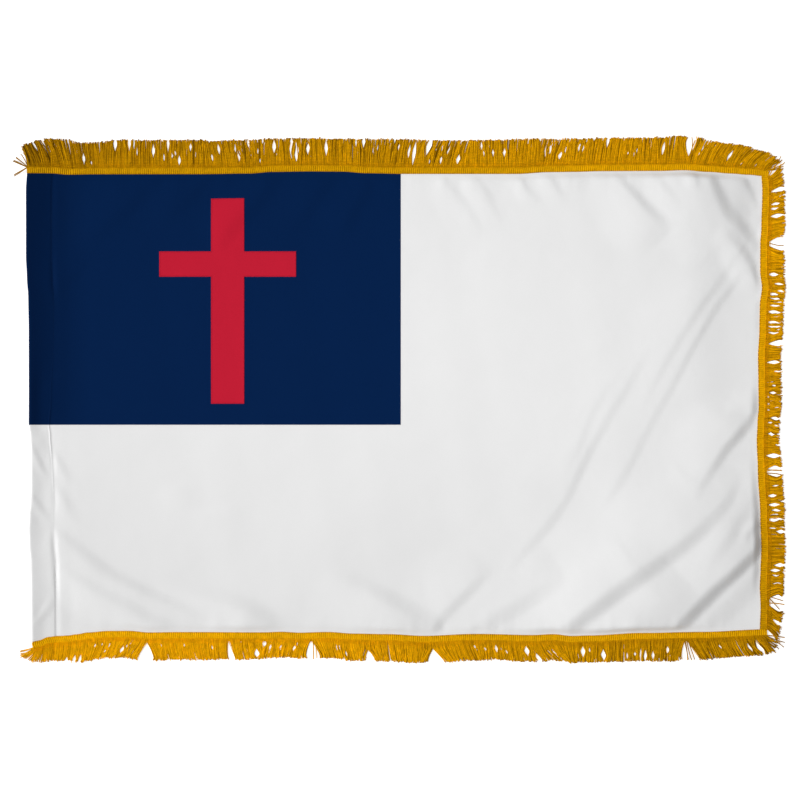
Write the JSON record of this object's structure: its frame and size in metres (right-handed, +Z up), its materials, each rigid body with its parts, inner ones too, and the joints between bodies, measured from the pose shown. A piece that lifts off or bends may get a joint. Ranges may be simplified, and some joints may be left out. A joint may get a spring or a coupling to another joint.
{
  "type": "christian flag",
  "caption": "Fringed ceremonial flag lying face up: white field, dark blue canton with a red cross, gold fringe on the free edges and a pole sleeve along the hoist.",
  "frame": {"origin": "on the surface, under the middle of the whole piece", "axes": "+X along the fly, away from the hoist; +Y towards the top edge; +Z up, out of the face"},
  "size_m": [1.4869, 1.0168, 0.0129],
  "materials": {
    "white_cloth": "smooth woven, faint sheen",
    "blue_cloth": "smooth woven, faint sheen",
    "red_cloth": "smooth woven, faint sheen",
    "gold_fringe": "twisted strands with a ribbed heading"
  },
  "bodies": {
    "root": {"field": "white_cloth", "canton": "blue_cloth", "cross": "red_cloth", "fringe_top": "gold_fringe", "fringe_fly": "gold_fringe", "fringe_bottom": "gold_fringe"}
  },
  "joints": []
}
